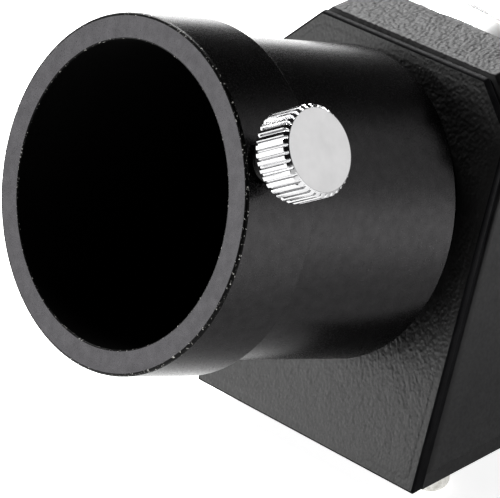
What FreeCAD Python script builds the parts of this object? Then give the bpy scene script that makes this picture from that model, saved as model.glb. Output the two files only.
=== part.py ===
import FreeCAD, Part
import math
import os
from FreeCAD import Placement, Rotation, Vector

# 45 degree erecting-prism star diagonal for 1.25 inch eyepieces, in millimetres.
# +X is the right-hand side seen from the eyepiece, +Y runs towards the telescope, +Z is up.
# The origin is the centre of the base plate's underside.
# Both optical axes climb away from the housing, so each end face leans inwards by half the bend.

# ---- driving dimensions: housing ----
BEND_DEG = 45.0                # angle between the two optical axes
HOUSING_WIDTH = 35.6           # X size of the housing
AXIS_TO_BASE = 27.3            # optical axis to the base plane, measured down an end face
AXIS_TO_TOP = 18.0             # optical axis to the top edge, measured up an end face
TOP_LENGTH = 8.3               # Y size of the top face
CHAMFER_WIDTH = 5.0            # top corner chamfers, along X
CHAMFER_HEIGHT = 4.4           # top corner chamfers, along Z
WALL = 2.0                     # housing wall
LONG_EDGE_RADIUS = 0.4         # rounding of the housing's edges along Y

# ---- driving dimensions: side plates and base plate ----
END_FLANGE = 0.75              # thickness of the eyepiece side plate's rim
GROOVE_WIDTH = 0.6             # shadow groove between that rim and the housing
GROOVE_DEPTH = 0.6
END_EDGE_RADIUS = 0.25         # rounding of the rim's outer edge
PANEL_INSET = 1.1              # smooth border round the textured panel
PANEL_RISE = 0.12              # height of the textured panel
PANEL_CORNER = 1.0
PLATE_FIT = 0.05               # round the nosepiece side plate in its recess
BASE_PLATE = 1.6               # base plate thickness
BASE_SCREW_SIDE = 2.4          # base screw centre to the housing's side
BASE_SCREW_END = 5.1           # base screw centre to the base plane's end edge
BASE_SCREW_RADIUS = 1.0
BASE_SCREW_GRIP = 2.8          # thread length above the base plate
BASE_SCREW_HEAD_RADIUS = 2.0
BASE_SCREW_HEAD_HEIGHT = 2.2
BASE_SCREW_HEAD_ROUND = 1.2
BOSS_WALL = 1.5                # material round a base screw's hole
BOSS_ROOF = 1.6                # material above a base screw's hole
BOSS_GAP = 0.4                 # boss to the prism cradle

# ---- driving dimensions: threaded spigots and their lock rings ----
LOCK_RING_THICKNESS = 1.8
LOCK_RING_WALL = 1.4
LOCK_RING_SIDE_GAP = 1.4       # lock ring to the housing's side wall
LOCK_RING_MID_GAP = 0.7        # lock ring to the middle plane between both rings
LOCK_SLOT_WIDTH = 2.0          # spanner slots
LOCK_SLOT_DEPTH = 0.8
SPIGOT_WALL = 2.0

# ---- driving dimensions: eyepiece holder ----
EYEPIECE_BARREL_DIAMETER = 31.75
SOCKET_CLEARANCE = 0.1         # radial
SOCKET_DEPTH = 28.0
COLLAR_WALL = 2.775
COLLAR_LENGTH = 9.5
TUBE_WALL = 1.125
HOLDER_LENGTH = 32.6           # front face to the tube's rear rim
NECK_GAP = 3.3                 # tube's rear rim to the end plate
NECK_STEP = 1.2                # neck radius over the spigot's
STOP_STEP = 2.4                # eyepiece stop shoulder, inwards from the socket wall
STOP_LENGTH = 2.4
EDGE_BREAK = 0.3               # chamfers on turned edges

# ---- driving dimensions: thumbscrew ----
SCREW_ANGLE_DEG = 28.3         # round the collar, from +X towards the top
SCREW_SETBACK = 3.0            # screw axis behind the front face
SCREW_RADIUS = 2.0
SCREW_CLEARANCE = 0.05         # radial
KNURL_STANDOFF = 3.16          # knurl's underside over the collar, at rest
KNURL_RADIUS = 4.73
KNURL_LENGTH = 4.34
KNURL_TEETH = 36
KNURL_DEPTH = 0.38
KNURL_LAND = 0.55              # share of a tooth's pitch at its full radius
KNURL_ROOT = 0.15              # share of a tooth's pitch at the groove's floor
FACE_RADIUS = 4.30             # flat face inside the bevel
FACE_BEVEL = 0.45
KNURL_UNDER_BEVEL = 0.12       # edge break at the knurl's underside
TIP_RETRACT = 0.4              # tip pad behind the socket wall, at rest
TIP_LENGTH = 0.9
TIP_RADIUS = 1.7
TIP_STEM_RADIUS = 0.7
TIP_STEM_LENGTH = 1.2
TIP_GAP = 0.06                 # running gap between the tip pad and the screw

# ---- driving dimensions: nosepiece ----
NOSE_BARREL_DIAMETER = 31.7
NOSE_BARREL_LENGTH = 28.0
NOSE_WALL = 2.25
FILTER_THREAD_WALL = 1.6       # barrel wall outside the filter thread
FILTER_THREAD_DEPTH = 5.5
SAFETY_GROOVE_START = 8.0      # from the collar
SAFETY_GROOVE_LENGTH = 10.0
SAFETY_GROOVE_DEPTH = 0.5
NOSE_COLLAR_LENGTH = 3.5
NOSE_COLLAR_RIM = 2.2          # length of the collar's widest part
NOSE_COLLAR_STEP = 1.95        # collar's widest radius over the barrel's
NOSE_COLLAR_NOSE_STEP = 1.05   # collar's front radius over the barrel's
NOSE_SPIGOT_STEP = 1.25        # barrel's threaded end, inwards from its radius
NOSE_POCKET_FLOOR = 1.0        # collar material under the barrel's threaded end
THREAD_CLEARANCE = 0.05        # radial, at every screwed joint

# ---- driving dimensions: prism and its holder ----
CRADLE_FLOOR = 1.6             # cradle material under the roof edge's strips
CHEEK = 2.0                    # cradle side cheeks
CHEEK_RISE = 6.0               # cheeks above the prism's lower side edge
BED_STRIP = 0.5                # strips between the cradle and the roof faces
BED_STRIP_WIDTH = 3.0
BED_STRIP_END_GAP = 2.0
SIDE_PAD = 0.8                 # pads between the prism's sides and the cheeks
SIDE_PAD_SIZE = 4.0
SIDE_PAD_RISE = 1.2
PRISM_TOP_FLAT = 2.0           # Y size of the prism's cut-off apex
ROOF_BEVEL = 0.2
STRAP = 0.5                    # strap sheet thickness
STRAP_WIDTH = 4.0
STRAP_RING_GAP = 0.35          # strap to the lock rings, along the end faces' normals
STRAP_PAD = 1.0
STRAP_PAD_END_GAP = 1.0
STRAP_SCREW_DROP = 2.9         # strap screws below the prism's lower side edge
STRAP_TAIL = 2.6               # strap below its screws
STRAP_SCREW_RADIUS = 0.8
STRAP_SCREW_LENGTH = 3.9
STRAP_SCREW_HEAD_RADIUS = 1.7
STRAP_SCREW_HEAD = 0.9
STRAP_SCREW_GAP = 0.6          # strap screw heads to the housing wall
MASK = 0.3                     # light mask sheet
MASK_SIDE = 1.5                # mask beyond the prism's sides
MASK_RIM = 0.8                 # mask above its aperture
MASK_TOP_GAP = 0.1
CRADLE_SCREW_INSET = 1.5       # cradle screws inside the prism's sides
CRADLE_SCREW_RADIUS = 1.0
CRADLE_SCREW_HEAD_RADIUS = 2.1
CRADLE_SCREW_LENGTH = 6.5
HOLE_RUNOUT = 0.5              # blind holes beyond their screws' tips
CROSS_WIDTH = 0.6              # cross recess in the screw heads
CROSS_SPAN = 0.6               # share of the head's diameter
CROSS_DEPTH = 0.5              # share of the head's height

# ---- derived sizes ----
SLOPE = math.radians(BEND_DEG / 2)
SIN = math.sin(SLOPE)
COS = math.cos(SLOPE)
TAN = math.tan(SLOPE)
FACE_LENGTH = AXIS_TO_BASE + AXIS_TO_TOP
HALF_WIDTH = HOUSING_WIDTH / 2
HALF_TOP = TOP_LENGTH / 2
HALF_BASE = HALF_TOP + FACE_LENGTH * SIN
HEIGHT = FACE_LENGTH * COS
END_PLATE = END_FLANGE + GROOVE_WIDTH
CAVITY_HALF = HALF_WIDTH - WALL
BOSS_HOLE_RADIUS = BASE_SCREW_RADIUS + THREAD_CLEARANCE
BOSS_RADIUS = BOSS_HOLE_RADIUS + BOSS_WALL
BOSS_TOP = BASE_PLATE + BASE_SCREW_GRIP + HOLE_RUNOUT + BOSS_ROOF
CRADLE_SCREW_HEAD = CRADLE_SCREW_HEAD_RADIUS - CRADLE_SCREW_RADIUS
SPIGOT_LENGTH = END_PLATE + WALL + LOCK_RING_THICKNESS
RING_SIDE_ROOM = CAVITY_HALF - LOCK_RING_SIDE_GAP
RING_TOP_ROOM = AXIS_TO_TOP - (SPIGOT_LENGTH * COS + LOCK_RING_MID_GAP - HALF_TOP) / SIN
LOCK_RING_RADIUS = min(RING_SIDE_ROOM, RING_TOP_ROOM)
SPIGOT_RADIUS = LOCK_RING_RADIUS - LOCK_RING_WALL
SPIGOT_BORE = SPIGOT_RADIUS - SPIGOT_WALL
SOCKET_RADIUS = EYEPIECE_BARREL_DIAMETER / 2 + SOCKET_CLEARANCE
COLLAR_RADIUS = SOCKET_RADIUS + COLLAR_WALL
TUBE_RADIUS = SOCKET_RADIUS + TUBE_WALL
FRONT = NECK_GAP + HOLDER_LENGTH
NOSE_RADIUS = NOSE_BARREL_DIAMETER / 2
NOSE_END = NOSE_COLLAR_LENGTH + NOSE_BARREL_LENGTH
FILTER_THREAD_RADIUS = NOSE_RADIUS - FILTER_THREAD_WALL

# The prism's faces lie PRISM_DEPTH behind the end faces. Light enters one face square on,
# meets the other at 45 degrees, turns at the roof and leaves square to the second face,
# which fixes the depth once the height of the roof edge is known.
ROOF_Z = BASE_PLATE + CRADLE_FLOOR + BED_STRIP * math.sqrt(2)
APEX_TO_AXIS = HALF_TOP / SIN + AXIS_TO_TOP
APEX_Z = HALF_BASE / TAN
PRISM_DEPTH = (ROOF_Z - APEX_Z + APEX_TO_AXIS / SIN) / ((1 / TAN - COS) / SIN)
PRISM_APEX_Z = APEX_Z - PRISM_DEPTH / SIN
PRISM_AXIS_OFFSET = APEX_TO_AXIS - PRISM_DEPTH / TAN
PRISM_TOP_Z = PRISM_APEX_Z - PRISM_TOP_FLAT / 2 / TAN
PRISM_HALF = CAVITY_HALF - STRAP_SCREW_GAP - STRAP_SCREW_HEAD - STRAP - CHEEK - SIDE_PAD
CRADLE_HALF = PRISM_HALF + SIDE_PAD + CHEEK
PRISM_SIDE_Z = ROOF_Z + PRISM_HALF
STRAP_SCREW_Z = PRISM_SIDE_Z - STRAP_SCREW_DROP
STRAP_TOP_Z = PRISM_TOP_Z + STRAP_PAD + STRAP
MASK_TOP = PRISM_AXIS_OFFSET - PRISM_TOP_FLAT / 2 / SIN - MASK_TOP_GAP
MASK_APERTURE = MASK_TOP - MASK_RIM

# ---- places ----
SEAT_Y = HALF_BASE - AXIS_TO_BASE * SIN
SEAT_Z = AXIS_TO_BASE * COS
X_AXIS = Vector(1, 0, 0)
Y_AXIS = Vector(0, 1, 0)
Z_AXIS = Vector(0, 0, 1)
EYE = Placement(Vector(0, -SEAT_Y, SEAT_Z), Rotation(X_AXIS, 90 - BEND_DEG / 2))
NOSE = Placement(Vector(0, SEAT_Y, SEAT_Z), Rotation(X_AXIS, BEND_DEG / 2 - 90))
SCREW_DIRECTION = Rotation(Z_AXIS, SCREW_ANGLE_DEG).multVec(X_AXIS)
SCREW = EYE.multiply(Placement(Vector(0, 0, FRONT - SCREW_SETBACK), Rotation(Z_AXIS, SCREW_DIRECTION)))
FAR = 4 * HALF_BASE
BASE_SCREW_PLACES = [
    Vector(x * (HALF_WIDTH - BASE_SCREW_SIDE), y * (HALF_BASE - BASE_SCREW_END), 0)
    for x in (-1, 1) for y in (-1, 1)]
CRADLE_SCREW_PLACES = [Vector(x * (PRISM_HALF - CRADLE_SCREW_INSET), 0, 0) for x in (-1, 1)]


# ---- helpers ----
def placed(shape, placement):
    """A copy of the shape moved by the placement."""
    moved = shape.copy()
    moved.Placement = placement.multiply(moved.Placement)
    return moved


def mirrored(shape):
    """The same piece at the other end of the housing."""
    return shape.mirror(Vector(0, 0, 0), Y_AXIS)


def joined(*shapes):
    """One solid from shapes that meet."""
    return shapes[0].multiFuse(list(shapes[1:])).removeSplitter()


def turned(points):
    """A solid turned about Z from a closed outline of (radius, height) points."""
    outline = Part.makePolygon([Vector(r, 0, z) for r, z in points + points[:1]])
    return Part.Face(outline).revolve(Vector(0, 0, 0), Z_AXIS, 360)


def rod(radius, start, end):
    """A cylinder about Z between two heights."""
    return Part.makeCylinder(radius, end - start, Vector(0, 0, start))


def block(x_half, y_half, z_low, z_high):
    """A box centred on the Z axis."""
    return Part.makeBox(2 * x_half, 2 * y_half, z_high - z_low, Vector(-x_half, -y_half, z_low))


def bar_along_y(points):
    """A closed XZ outline drawn through the whole length of the housing."""
    outline = Part.makePolygon([Vector(x, -FAR / 2, z) for x, z in points + points[:1]])
    return Part.Face(outline).extrude(Vector(0, FAR, 0))


def housing_bar(inset, bottom, radius):
    """The housing's cross-section, inset from its top, sides and chamfers."""
    across = math.hypot(CHAMFER_WIDTH, CHAMFER_HEIGHT)
    nx = CHAMFER_HEIGHT / across
    nz = CHAMFER_WIDTH / across
    side = HALF_WIDTH - inset
    top = HEIGHT - inset
    corner_x = HALF_WIDTH - CHAMFER_WIDTH - inset * (1 - nz) / nx
    corner_z = HEIGHT - CHAMFER_HEIGHT - inset * (1 - nx) / nz
    half = [(side, bottom), (side, corner_z), (corner_x, top)]
    bar = bar_along_y(half + [(-x, z) for x, z in reversed(half)])
    if radius == 0:
        return bar
    long_edges = [e for e in bar.Edges if abs(e.tangentAt(e.FirstParameter).y) > 0.99]
    upper_edges = [e for e in long_edges if e.BoundBox.ZMin > bottom + radius]
    return bar.makeFillet(radius, upper_edges)


def between_end_planes(depth):
    """The wedge between the two planes that lie this deep behind the end faces."""
    low = HALF_BASE - depth / COS + FAR * TAN
    points = [(-low, -FAR), (low, -FAR), (0, APEX_Z - depth / SIN)]
    outline = Part.makePolygon([Vector(-FAR / 2, y, z) for y, z in points + points[:1]])
    return Part.Face(outline).extrude(Vector(FAR, 0, 0))


def end_slab(front, back):
    """A wide slab parallel to the eyepiece end face, between two heights along its normal."""
    return placed(block(FAR / 2, FAR / 2, back, front), EYE)


def body_span():
    """Between both end faces, less the eyepiece side plate's thickness."""
    return between_end_planes(0).cut(end_slab(FAR, -END_PLATE))


def recessed_plate(gap):
    """The plate let into the nosepiece end face, this far inside the recess's walls."""
    inset = PANEL_INSET + gap
    bar = housing_bar(inset, BASE_PLATE + inset, PANEL_CORNER)
    return bar.common(mirrored(end_slab(PANEL_RISE, -END_PLATE)))


def cross_recess(head_radius, head_height):
    """The cross cut into a screw head whose outer end is at Z = 0 and whose body is above."""
    span = head_radius * CROSS_SPAN
    depth = head_height * CROSS_DEPTH
    half_width = CROSS_WIDTH / 2
    return joined(block(span, half_width, -depth, depth), block(half_width, span, -depth, depth))


def save(name, *solids):
    """Write one node's STEP file."""
    shape = solids[0] if len(solids) == 1 else Part.makeCompound(list(solids))
    shape.exportStep("parts/" + name + ".step")


# ---- housing ----
def housing_body():
    outer = housing_bar(0, BASE_PLATE, LONG_EDGE_RADIUS).common(body_span()).cut(recessed_plate(0))
    cavity = housing_bar(WALL, 0, 0).common(between_end_planes(END_PLATE + WALL))
    body = outer.cut(cavity)
    bosses = [rod(BOSS_RADIUS, BASE_PLATE, BOSS_TOP).translate(place).common(outer)
              for place in BASE_SCREW_PLACES]
    body = joined(body, *bosses)
    for place in BASE_SCREW_PLACES:
        body = body.cut(rod(BOSS_HOLE_RADIUS, 0, BOSS_TOP - BOSS_ROOF).translate(place))
    spigot_hole = rod(SPIGOT_RADIUS + THREAD_CLEARANCE, -END_PLATE - 2 * WALL, 0)
    return body.cut(placed(spigot_hole, EYE)).cut(placed(spigot_hole, NOSE))


def eyepiece_side_plate():
    rim = housing_bar(0, 0, LONG_EDGE_RADIUS).common(end_slab(0, -END_FLANGE))
    outer_edges = [e for e in rim.Edges
                   if all(abs(EYE.inverse().multVec(v.Point).z) < 1e-4 for v in e.Vertexes)]
    rim = rim.makeFillet(END_EDGE_RADIUS, outer_edges)
    step = housing_bar(GROOVE_DEPTH, 0, 0).common(end_slab(-END_FLANGE, -END_PLATE))
    panel = housing_bar(PANEL_INSET, PANEL_INSET, PANEL_CORNER).common(end_slab(PANEL_RISE, -END_FLANGE))
    spigot_hole = rod(SPIGOT_RADIUS + THREAD_CLEARANCE, -2 * END_PLATE, 2 * PANEL_RISE)
    return joined(rim, step, panel).cut(placed(spigot_hole, EYE))


def nosepiece_side_plate():
    spigot_hole = rod(SPIGOT_RADIUS + THREAD_CLEARANCE, -2 * END_PLATE, 2 * PANEL_RISE)
    return recessed_plate(PLATE_FIT).cut(placed(spigot_hole, NOSE))


def base_plate():
    slab = block(HALF_WIDTH, FAR / 2, 0, BASE_PLATE).common(body_span())
    for place in BASE_SCREW_PLACES:
        slab = slab.cut(rod(BASE_SCREW_RADIUS + 2 * THREAD_CLEARANCE, 0, BASE_PLATE).translate(place))
    for place in CRADLE_SCREW_PLACES:
        slab = slab.cut(rod(CRADLE_SCREW_RADIUS + THREAD_CLEARANCE, 0, BASE_PLATE).translate(place))
        slab = slab.cut(countersunk_head().translate(place))
    return slab


def pan_screw():
    head = rod(BASE_SCREW_HEAD_RADIUS, -BASE_SCREW_HEAD_HEIGHT, 0)
    outer_edges = [e for e in head.Edges if e.BoundBox.ZMax < 1e-6 - BASE_SCREW_HEAD_HEIGHT]
    head = head.makeFillet(BASE_SCREW_HEAD_ROUND, outer_edges)
    recess = cross_recess(BASE_SCREW_HEAD_RADIUS, BASE_SCREW_HEAD_HEIGHT)
    head = head.cut(recess.translate(Vector(0, 0, -BASE_SCREW_HEAD_HEIGHT)))
    return joined(head, rod(BASE_SCREW_RADIUS, 0, BASE_PLATE + BASE_SCREW_GRIP))


# ---- lock ring, the same at both ends ----
def lock_ring():
    inner_face = -END_PLATE - WALL
    ring = rod(LOCK_RING_RADIUS, inner_face - LOCK_RING_THICKNESS, inner_face)
    ring = ring.cut(rod(SPIGOT_RADIUS + THREAD_CLEARANCE, inner_face - 2 * LOCK_RING_THICKNESS, inner_face))
    slot_floor = inner_face - LOCK_RING_THICKNESS + LOCK_SLOT_DEPTH
    slots = block(FAR, LOCK_SLOT_WIDTH / 2, inner_face - 2 * LOCK_RING_THICKNESS, slot_floor)
    return ring.cut(slots)


# ---- eyepiece holder ----
def eyepiece_holder():
    collar_back = FRONT - COLLAR_LENGTH
    stop = FRONT - SOCKET_DEPTH
    holder = turned([
        (SPIGOT_BORE, -SPIGOT_LENGTH),
        (SPIGOT_RADIUS - EDGE_BREAK, -SPIGOT_LENGTH),
        (SPIGOT_RADIUS, -SPIGOT_LENGTH + EDGE_BREAK),
        (SPIGOT_RADIUS, PANEL_RISE),
        (SPIGOT_RADIUS + NECK_STEP, PANEL_RISE),
        (SPIGOT_RADIUS + NECK_STEP, NECK_GAP),
        (TUBE_RADIUS - EDGE_BREAK, NECK_GAP),
        (TUBE_RADIUS, NECK_GAP + EDGE_BREAK),
        (TUBE_RADIUS, collar_back),
        (COLLAR_RADIUS - EDGE_BREAK, collar_back),
        (COLLAR_RADIUS, collar_back + EDGE_BREAK),
        (COLLAR_RADIUS, FRONT - EDGE_BREAK),
        (COLLAR_RADIUS - EDGE_BREAK, FRONT),
        (SOCKET_RADIUS + EDGE_BREAK / 2, FRONT),
        (SOCKET_RADIUS, FRONT - EDGE_BREAK / 2),
        (SOCKET_RADIUS, stop),
        (SOCKET_RADIUS - STOP_STEP, stop),
        (SOCKET_RADIUS - STOP_STEP, stop - STOP_LENGTH),
        (SPIGOT_BORE, stop - STOP_LENGTH),
    ])
    screw_hole = rod(SCREW_RADIUS + SCREW_CLEARANCE, 0, COLLAR_RADIUS + COLLAR_WALL)
    return placed(holder, EYE).cut(placed(screw_hole, SCREW))


# ---- thumbscrew ----
def knurl_outline():
    """The toothed rim: each tooth's land, then the floor of the groove after it."""
    root_radius = KNURL_RADIUS - KNURL_DEPTH
    tooth_corners = [
        (KNURL_RADIUS, -KNURL_LAND / 2),
        (KNURL_RADIUS, KNURL_LAND / 2),
        (root_radius, (1 - KNURL_ROOT) / 2),
        (root_radius, (1 + KNURL_ROOT) / 2),
    ]
    corners = []
    for tooth in range(KNURL_TEETH):
        for radius, share in tooth_corners:
            turn = Rotation(Z_AXIS, 360 / KNURL_TEETH * (tooth + share))
            corners.append(turn.multVec(Vector(radius, 0, 0)))
    return Part.makePolygon(corners + corners[:1])


def thumb_screw():
    under = COLLAR_RADIUS + KNURL_STANDOFF
    face = under + KNURL_LENGTH
    shank_end = SOCKET_RADIUS + TIP_RETRACT + TIP_LENGTH + TIP_GAP
    teeth = Part.Face(knurl_outline()).extrude(Vector(0, 0, KNURL_LENGTH)).translate(Vector(0, 0, under))
    envelope = turned([
        (0, under),
        (KNURL_RADIUS - KNURL_UNDER_BEVEL, under),
        (KNURL_RADIUS, under + KNURL_UNDER_BEVEL),
        (KNURL_RADIUS, face - FACE_BEVEL),
        (FACE_RADIUS, face),
        (0, face),
    ])
    shank = turned([
        (TIP_STEM_RADIUS + TIP_GAP, shank_end),
        (SCREW_RADIUS - EDGE_BREAK, shank_end),
        (SCREW_RADIUS, shank_end + EDGE_BREAK),
        (SCREW_RADIUS, under),
        (0, under),
        (0, shank_end + TIP_STEM_LENGTH),
        (TIP_STEM_RADIUS + TIP_GAP, shank_end + TIP_STEM_LENGTH),
    ])
    return placed(joined(teeth.common(envelope), shank), SCREW)


def thumb_screw_tip():
    nose = SOCKET_RADIUS + TIP_RETRACT
    pad = turned([
        (0, nose),
        (TIP_RADIUS - EDGE_BREAK, nose),
        (TIP_RADIUS, nose + EDGE_BREAK),
        (TIP_RADIUS, nose + TIP_LENGTH),
        (TIP_STEM_RADIUS, nose + TIP_LENGTH),
        (TIP_STEM_RADIUS, nose + TIP_LENGTH + TIP_STEM_LENGTH),
        (0, nose + TIP_LENGTH + TIP_STEM_LENGTH),
    ])
    return placed(pad, SCREW)


# ---- nosepiece ----
def nosepiece_collar():
    barrel_seat = NOSE_RADIUS - NOSE_SPIGOT_STEP + THREAD_CLEARANCE
    return placed(turned([
        (SPIGOT_BORE, -SPIGOT_LENGTH),
        (SPIGOT_RADIUS - EDGE_BREAK, -SPIGOT_LENGTH),
        (SPIGOT_RADIUS, -SPIGOT_LENGTH + EDGE_BREAK),
        (SPIGOT_RADIUS, PANEL_RISE),
        (NOSE_RADIUS + NOSE_COLLAR_STEP - EDGE_BREAK, PANEL_RISE),
        (NOSE_RADIUS + NOSE_COLLAR_STEP, PANEL_RISE + EDGE_BREAK),
        (NOSE_RADIUS + NOSE_COLLAR_STEP, NOSE_COLLAR_RIM),
        (NOSE_RADIUS + NOSE_COLLAR_NOSE_STEP, NOSE_COLLAR_LENGTH - EDGE_BREAK),
        (NOSE_RADIUS + NOSE_COLLAR_NOSE_STEP - EDGE_BREAK, NOSE_COLLAR_LENGTH),
        (barrel_seat, NOSE_COLLAR_LENGTH),
        (barrel_seat, NOSE_POCKET_FLOOR),
        (SPIGOT_BORE, NOSE_POCKET_FLOOR),
    ]), NOSE)


def nosepiece_barrel():
    groove = NOSE_COLLAR_LENGTH + SAFETY_GROOVE_START
    groove_end = groove + SAFETY_GROOVE_LENGTH
    groove_radius = NOSE_RADIUS - SAFETY_GROOVE_DEPTH
    return placed(turned([
        (NOSE_RADIUS - NOSE_WALL, NOSE_POCKET_FLOOR),
        (NOSE_RADIUS - NOSE_SPIGOT_STEP, NOSE_POCKET_FLOOR),
        (NOSE_RADIUS - NOSE_SPIGOT_STEP, NOSE_COLLAR_LENGTH),
        (NOSE_RADIUS, NOSE_COLLAR_LENGTH),
        (NOSE_RADIUS, groove),
        (groove_radius, groove + SAFETY_GROOVE_DEPTH),
        (groove_radius, groove_end - SAFETY_GROOVE_DEPTH),
        (NOSE_RADIUS, groove_end),
        (NOSE_RADIUS, NOSE_END - EDGE_BREAK),
        (NOSE_RADIUS - EDGE_BREAK, NOSE_END),
        (FILTER_THREAD_RADIUS + EDGE_BREAK, NOSE_END),
        (FILTER_THREAD_RADIUS, NOSE_END - EDGE_BREAK),
        (FILTER_THREAD_RADIUS, NOSE_END - FILTER_THREAD_DEPTH),
        (NOSE_RADIUS - NOSE_WALL, NOSE_END - FILTER_THREAD_DEPTH),
    ]), NOSE)


# ---- prism and its holder ----
def prism_bar(side_gap, roof_gap, top, roof_bevel):
    """The roof prism's cross-section along its roof edge, grown by the gaps."""
    side = PRISM_HALF + side_gap
    roof = ROOF_Z - roof_gap * math.sqrt(2)
    half = [(roof_bevel, roof + roof_bevel), (side, roof + side), (side, top)]
    return bar_along_y(half + [(-x, z) for x, z in reversed(half)])


def prism():
    body = prism_bar(0, 0, PRISM_APEX_Z, ROOF_BEVEL).common(between_end_planes(PRISM_DEPTH))
    return body.common(block(FAR, FAR, 0, PRISM_TOP_Z))


def prism_cradle():
    cheek_top = PRISM_SIDE_Z + CHEEK_RISE
    cradle = block(CRADLE_HALF, FAR / 2, BASE_PLATE, cheek_top).common(between_end_planes(PRISM_DEPTH))
    cradle = cradle.cut(prism_bar(SIDE_PAD, BED_STRIP, PRISM_APEX_Z, ROOF_BEVEL))
    for place in BASE_SCREW_PLACES:
        cradle = cradle.cut(rod(BOSS_RADIUS + BOSS_GAP, 0, BOSS_TOP + BOSS_GAP).translate(place))
    for place in CRADLE_SCREW_PLACES:
        hole = rod(CRADLE_SCREW_RADIUS + THREAD_CLEARANCE, 0, CRADLE_SCREW_LENGTH + HOLE_RUNOUT)
        cradle = cradle.cut(hole.translate(place))
    depth = STRAP_SCREW_LENGTH + HOLE_RUNOUT
    for side in (-1, 1):
        hole = rod(STRAP_SCREW_RADIUS + THREAD_CLEARANCE, CRADLE_HALF - depth, CRADLE_HALF)
        cradle = cradle.cut(placed(hole, strap_screw_place(side)))
    return cradle


def strap_screw_place(side):
    return Placement(Vector(0, 0, STRAP_SCREW_Z), Rotation(Z_AXIS, Vector(side, 0, 0)))


def bed_strips():
    """Two strips on the cradle's 45 degree beds, close to the prism's sides."""
    strips = []
    for side in (-1, 1):
        half_length = (PRISM_APEX_Z - PRISM_SIDE_Z) * TAN - BED_STRIP_END_GAP
        corner = Vector(-BED_STRIP_WIDTH, -half_length, -BED_STRIP)
        strip = Part.makeBox(BED_STRIP_WIDTH, 2 * half_length, BED_STRIP, corner)
        strip.rotate(Vector(0, 0, 0), Y_AXIS, -45)
        strip.translate(Vector(PRISM_HALF, 0, PRISM_SIDE_Z))
        strips.append(strip if side > 0 else strip.mirror(Vector(0, 0, 0), X_AXIS))
    return strips


def side_pads():
    low = PRISM_SIDE_Z + SIDE_PAD_RISE
    return [Part.makeBox(SIDE_PAD, SIDE_PAD_SIZE, SIDE_PAD_SIZE,
                         Vector(x, -SIDE_PAD_SIZE / 2, low))
            for x in (PRISM_HALF, -PRISM_HALF - SIDE_PAD)]


def prism_strap():
    tail = STRAP_SCREW_Z - STRAP_TAIL
    outer = block(CRADLE_HALF + STRAP, STRAP_WIDTH / 2, tail, STRAP_TOP_Z)
    strap = outer.cut(block(CRADLE_HALF, STRAP_WIDTH, tail, STRAP_TOP_Z - STRAP))
    strap = strap.common(between_end_planes(SPIGOT_LENGTH + STRAP_RING_GAP))
    hole = rod(STRAP_SCREW_RADIUS + THREAD_CLEARANCE, 0, FAR)
    for side in (-1, 1):
        strap = strap.cut(placed(hole, strap_screw_place(side)))
    return strap


def strap_screw(side):
    under_head = CRADLE_HALF + STRAP
    head = rod(STRAP_SCREW_HEAD_RADIUS, under_head, under_head + STRAP_SCREW_HEAD)
    recess = cross_recess(STRAP_SCREW_HEAD_RADIUS, STRAP_SCREW_HEAD)
    head = head.cut(recess.translate(Vector(0, 0, under_head + STRAP_SCREW_HEAD)))
    shank = rod(STRAP_SCREW_RADIUS, CRADLE_HALF - STRAP_SCREW_LENGTH, under_head)
    return placed(joined(head, shank), strap_screw_place(side))


def strap_pad():
    return block(PRISM_HALF - STRAP_PAD_END_GAP, PRISM_TOP_FLAT / 2, PRISM_TOP_Z, PRISM_TOP_Z + STRAP_PAD)


def light_mask():
    """Blackened sheet over one prism face, with the clear aperture in it."""
    bottom = (ROOF_Z - SEAT_Z + PRISM_DEPTH * SIN) / COS
    sheet = Part.makeBox(2 * (PRISM_HALF + MASK_SIDE), MASK_TOP - bottom, MASK,
                         Vector(-PRISM_HALF - MASK_SIDE, bottom, -PRISM_DEPTH))
    return placed(sheet.cut(rod(MASK_APERTURE, -PRISM_DEPTH - MASK, -PRISM_DEPTH + 2 * MASK)), EYE)


def countersunk_head():
    """A cone that narrows at 45 degrees to the cradle screw's shank."""
    return Part.makeCone(CRADLE_SCREW_HEAD_RADIUS, CRADLE_SCREW_RADIUS, CRADLE_SCREW_HEAD)


def cradle_screw():
    screw = joined(countersunk_head(), rod(CRADLE_SCREW_RADIUS, 0, CRADLE_SCREW_LENGTH))
    return screw.cut(cross_recess(CRADLE_SCREW_HEAD_RADIUS, CRADLE_SCREW_HEAD))


def build():
    os.makedirs("parts", exist_ok=True)
    save("housing_body", housing_body())
    save("eyepiece_side_plate", eyepiece_side_plate())
    save("nosepiece_side_plate", nosepiece_side_plate())
    save("base_plate", base_plate())
    save("base_plate_screws", *[pan_screw().translate(place) for place in BASE_SCREW_PLACES])
    save("eyepiece_holder", eyepiece_holder())
    save("eyepiece_lock_ring", placed(lock_ring(), EYE))
    save("thumb_screw", thumb_screw())
    save("thumb_screw_tip", thumb_screw_tip())
    save("nosepiece_collar", nosepiece_collar())
    save("nosepiece_lock_ring", placed(lock_ring(), NOSE))
    save("nosepiece_barrel", nosepiece_barrel())
    save("roof_prism", prism())
    save("prism_cradle", prism_cradle())
    save("prism_bed_strips", *bed_strips())
    save("prism_side_pads", *side_pads())
    save("prism_strap", prism_strap())
    save("prism_strap_pad", strap_pad())
    save("prism_strap_screws", strap_screw(-1), strap_screw(1))
    save("eyepiece_side_mask", light_mask())
    save("nosepiece_side_mask", mirrored(light_mask()))
    save("cradle_screws", *[cradle_screw().translate(place) for place in CRADLE_SCREW_PLACES])


build()
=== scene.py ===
import math
from collections import namedtuple

import bmesh
import bpy
from mathutils import Matrix, Vector, noise


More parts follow.
